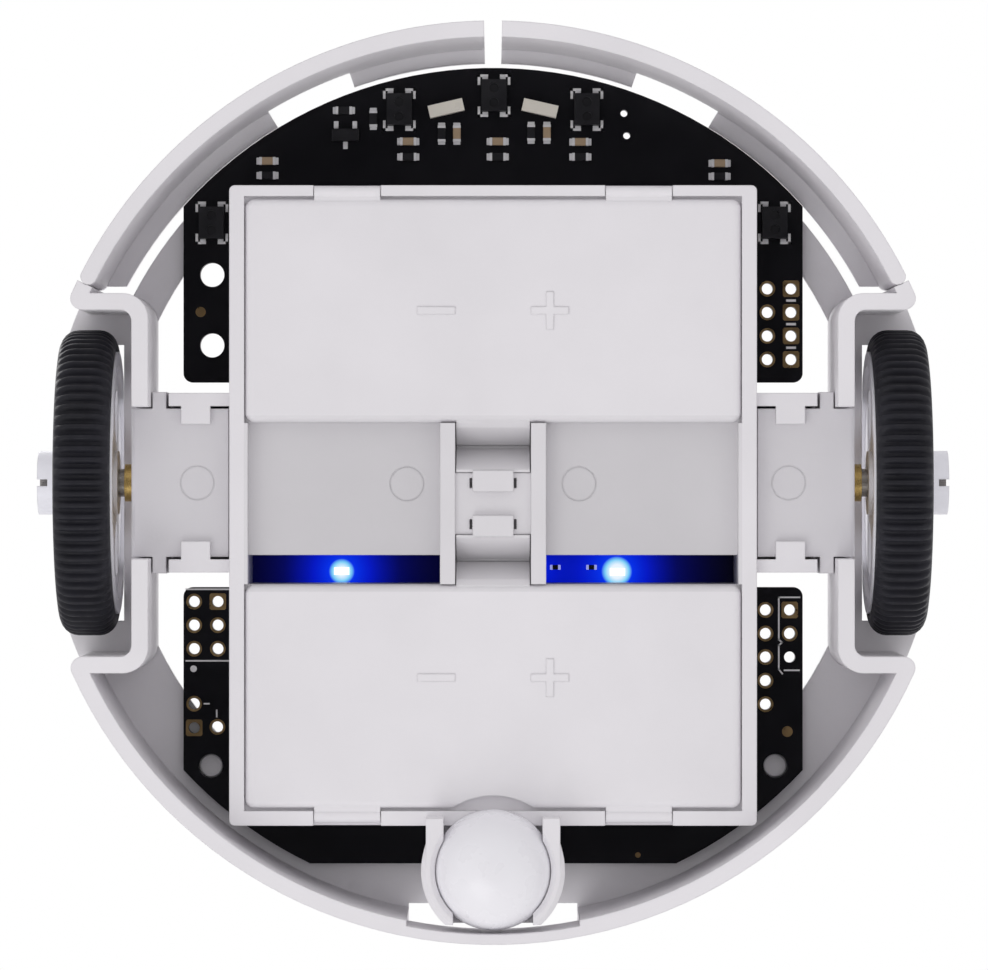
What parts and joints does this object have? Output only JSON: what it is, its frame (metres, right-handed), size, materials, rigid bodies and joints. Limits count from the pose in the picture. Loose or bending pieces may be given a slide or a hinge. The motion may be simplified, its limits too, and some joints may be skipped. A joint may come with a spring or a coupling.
{
  "type": "educational coding robot",
  "caption": "Low round two-wheeled robot with geared motors, a ball caster, a sprung bumper skirt, a control board with sensors, keys and a display, and hinged battery doors.",
  "frame": {"origin": "on the floor under the centre of the skirt ring, half way between the wheels", "axes": "front of the robot towards -Y, its left towards +X, up +Z; the wheel axle is along X"},
  "size_m": [0.097, 0.097, 0.0329],
  "materials": {
    "white_shell": "fine satin moulding",
    "clip_plastic": "fine satin moulding, slightly greyer",
    "board_black": "black solder mask over glass-fibre laminate",
    "hub_white": "smooth moulded",
    "tyre_rubber": "ribbed matt silicone rubber",
    "ball_white": "polished",
    "motor_steel": "turned and plated",
    "gear_brass": "stamped and turned",
    "endcap_plastic": "moulded",
    "cell_wrap": "printed wrap, left plain",
    "contact_nickel": "nickel plated, satin",
    "screw_steel": "zinc plated",
    "sensor_black": "epoxy moulding",
    "sensor_pale": "clear and pale epoxy",
    "led_blue": "lit blue lamp",
    "display_glass": "dark display glass",
    "button_cap": "moulded",
    "power_cap": "moulded",
    "pad_gold": "gold-plated copper pads and tinned joints",
    "silk_white": "printed marks"
  },
  "bodies": {
    "chassis": {"chassis_base": "white_shell", "bumper_skirt": "white_shell", "control_board": "board_black", "board_screws": "screw_steel", "cells_front": "cell_wrap", "cells_rear": "cell_wrap", "battery_leaf_contacts": "contact_nickel", "battery_button_contacts": "contact_nickel", "line_sensors": "sensor_black", "bump_sensors": "sensor_pale", "status_leds": "led_blue", "display_board": "board_black", "display_glass": "display_glass", "display_headers": "sensor_black", "usb_connector": "contact_nickel", "buzzer": "sensor_black", "board_chips": "sensor_black", "button_housings": "sensor_black", "motor_clip_left": "clip_plastic", "motor_can_left": "motor_steel", "motor_endcap_left": "endcap_plastic", "gearbox_rear_plate_left": "gear_brass", "gearbox_front_plate_left": "gear_brass", "motor_clip_right": "clip_plastic", "motor_can_right": "motor_steel", "motor_endcap_right": "endcap_plastic", "gearbox_rear_plate_right": "gear_brass", "gearbox_front_plate_right": "gear_brass"},
    "door_front": {"battery_door_front": "white_shell"},
    "door_rear": {"battery_door_rear": "white_shell"},
    "latch_front": {"door_latch_front": "white_shell"},
    "latch_rear": {"door_latch_rear": "white_shell"},
    "caster": {"caster_ball": "ball_white"},
    "key_a": {"button_a": "button_cap"},
    "key_b": {"button_b": "button_cap"},
    "key_c": {"button_c": "button_cap"},
    "key_power": {"power_button": "power_cap"},
    "key_reset": {"reset_button": "button_cap"},
    "bumper_left": {"bumper_arm_left": "white_shell"},
    "wheel_left": {"tyre_left": "tyre_rubber", "wheel_hub_left": "hub_white", "output_shaft_left": "motor_steel"},
    "gear_last_left": {"gear_last_left": "gear_brass"},
    "gear_middle_left": {"gear_middle_left": "gear_brass"},
    "gear_first_left": {"gear_first_left": "gear_brass"},
    "rotor_left": {"rotor_left": "motor_steel"},
    "bumper_right": {"bumper_arm_right": "white_shell"},
    "wheel_right": {"tyre_right": "tyre_rubber", "wheel_hub_right": "hub_white", "output_shaft_right": "motor_steel"},
    "gear_last_right": {"gear_last_right": "gear_brass"},
    "gear_middle_right": {"gear_middle_right": "gear_brass"},
    "gear_first_right": {"gear_first_right": "gear_brass"},
    "rotor_right": {"rotor_right": "motor_steel"}
  },
  "joints": [
    {"name": "bumper_left_press", "type": "hinge", "parent": "chassis", "child": "bumper_left", "pos_m": [0.04246, -0.02163, 0.0145], "axis": [0, 0, -1], "range_deg": [0, 1.5], "stiffness_Nm_per_rad": 1.4},
    {"name": "wheel_left_spin", "type": "hinge", "parent": "chassis", "child": "wheel_left", "pos_m": [0.043, 0, 0.0163], "axis": [1, 0, 0], "continuous": true},
    {"name": "gear_last_left_spin", "type": "hinge", "parent": "chassis", "child": "gear_last_left", "pos_m": [0.033, 0.0034, 0.0163], "axis": [1, 0, 0], "continuous": true},
    {"name": "gear_middle_left_spin", "type": "hinge", "parent": "chassis", "child": "gear_middle_left", "pos_m": [0.033, 0, 0.0163], "axis": [1, 0, 0], "continuous": true},
    {"name": "gear_first_left_spin", "type": "hinge", "parent": "chassis", "child": "gear_first_left", "pos_m": [0.033, 0.0034, 0.0163], "axis": [1, 0, 0], "continuous": true},
    {"name": "rotor_left_spin", "type": "hinge", "parent": "chassis", "child": "rotor_left", "pos_m": [0.033, 0, 0.0163], "axis": [1, 0, 0], "continuous": true},
    {"name": "bumper_right_press", "type": "hinge", "parent": "chassis", "child": "bumper_right", "pos_m": [-0.04246, -0.02163, 0.0145], "axis": [0, 0, 1], "range_deg": [0, 1.5], "stiffness_Nm_per_rad": 1.4},
    {"name": "wheel_right_spin", "type": "hinge", "parent": "chassis", "child": "wheel_right", "pos_m": [-0.043, 0, 0.0163], "axis": [1, 0, 0], "continuous": true},
    {"name": "gear_last_right_spin", "type": "hinge", "parent": "chassis", "child": "gear_last_right", "pos_m": [-0.033, 0.0034, 0.0163], "axis": [1, 0, 0], "continuous": true},
    {"name": "gear_middle_right_spin", "type": "hinge", "parent": "chassis", "child": "gear_middle_right", "pos_m": [-0.033, 0, 0.0163], "axis": [1, 0, 0], "continuous": true},
    {"name": "gear_first_right_spin", "type": "hinge", "parent": "chassis", "child": "gear_first_right", "pos_m": [-0.033, 0.0034, 0.0163], "axis": [1, 0, 0], "continuous": true},
    {"name": "rotor_right_spin", "type": "hinge", "parent": "chassis", "child": "rotor_right", "pos_m": [-0.033, 0, 0.0163], "axis": [1, 0, 0], "continuous": true},
    {"name": "caster_roll", "type": "hinge", "parent": "chassis", "child": "caster", "pos_m": [0, 0.04075, 0.00635], "axis": [1, 0, 0], "continuous": true},
    {"name": "door_front_swing", "type": "hinge", "parent": "chassis", "child": "door_front", "pos_m": [0, -0.03075, 0.0086], "axis": [-1, 0, 0], "range_deg": [0, 75]},
    {"name": "door_rear_swing", "type": "hinge", "parent": "chassis", "child": "door_rear", "pos_m": [0, 0.0353, 0.0086], "axis": [1, 0, 0], "range_deg": [0, 35]},
    {"name": "latch_front_flex", "type": "hinge", "parent": "door_front", "child": "latch_front", "pos_m": [0, -0.0036, 0.0126], "axis": [-1, 0, 0], "range_deg": [0, 20], "stiffness_Nm_per_rad": 0.02},
    {"name": "latch_rear_flex", "type": "hinge", "parent": "door_rear", "child": "latch_rear", "pos_m": [0, 0.008, 0.0126], "axis": [1, 0, 0], "range_deg": [0, 20], "stiffness_Nm_per_rad": 0.02},
    {"name": "key_a_press", "type": "slide", "parent": "chassis", "child": "key_a", "axis": [0, 0, -1], "range_m": [0, 0.00025], "stiffness_N_per_m": 400},
    {"name": "key_b_press", "type": "slide", "parent": "chassis", "child": "key_b", "axis": [0, 0, -1], "range_m": [0, 0.00025], "stiffness_N_per_m": 400},
    {"name": "key_c_press", "type": "slide", "parent": "chassis", "child": "key_c", "axis": [0, 0, -1], "range_m": [0, 0.00025], "stiffness_N_per_m": 400},
    {"name": "key_power_press", "type": "slide", "parent": "chassis", "child": "key_power", "axis": [0, 0, -1], "range_m": [0, 0.00025], "stiffness_N_per_m": 400},
    {"name": "key_reset_press", "type": "slide", "parent": "chassis", "child": "key_reset", "axis": [0, 0, -1], "range_m": [0, 0.00025], "stiffness_N_per_m": 400}
  ],
  "couplings": [
    {"joint": "gear_last_left_spin", "follows": "wheel_left_spin", "ratio": -2.4286},
    {"joint": "gear_middle_left_spin", "follows": "wheel_left_spin", "ratio": 6.5385},
    {"joint": "gear_first_left_spin", "follows": "wheel_left_spin", "ratio": -15.412},
    {"joint": "rotor_left_spin", "follows": "wheel_left_spin", "ratio": 29.861},
    {"joint": "gear_last_right_spin", "follows": "wheel_right_spin", "ratio": -2.4286},
    {"joint": "gear_middle_right_spin", "follows": "wheel_right_spin", "ratio": 6.5385},
    {"joint": "gear_first_right_spin", "follows": "wheel_right_spin", "ratio": -15.412},
    {"joint": "rotor_right_spin", "follows": "wheel_right_spin", "ratio": 29.861}
  ]
}
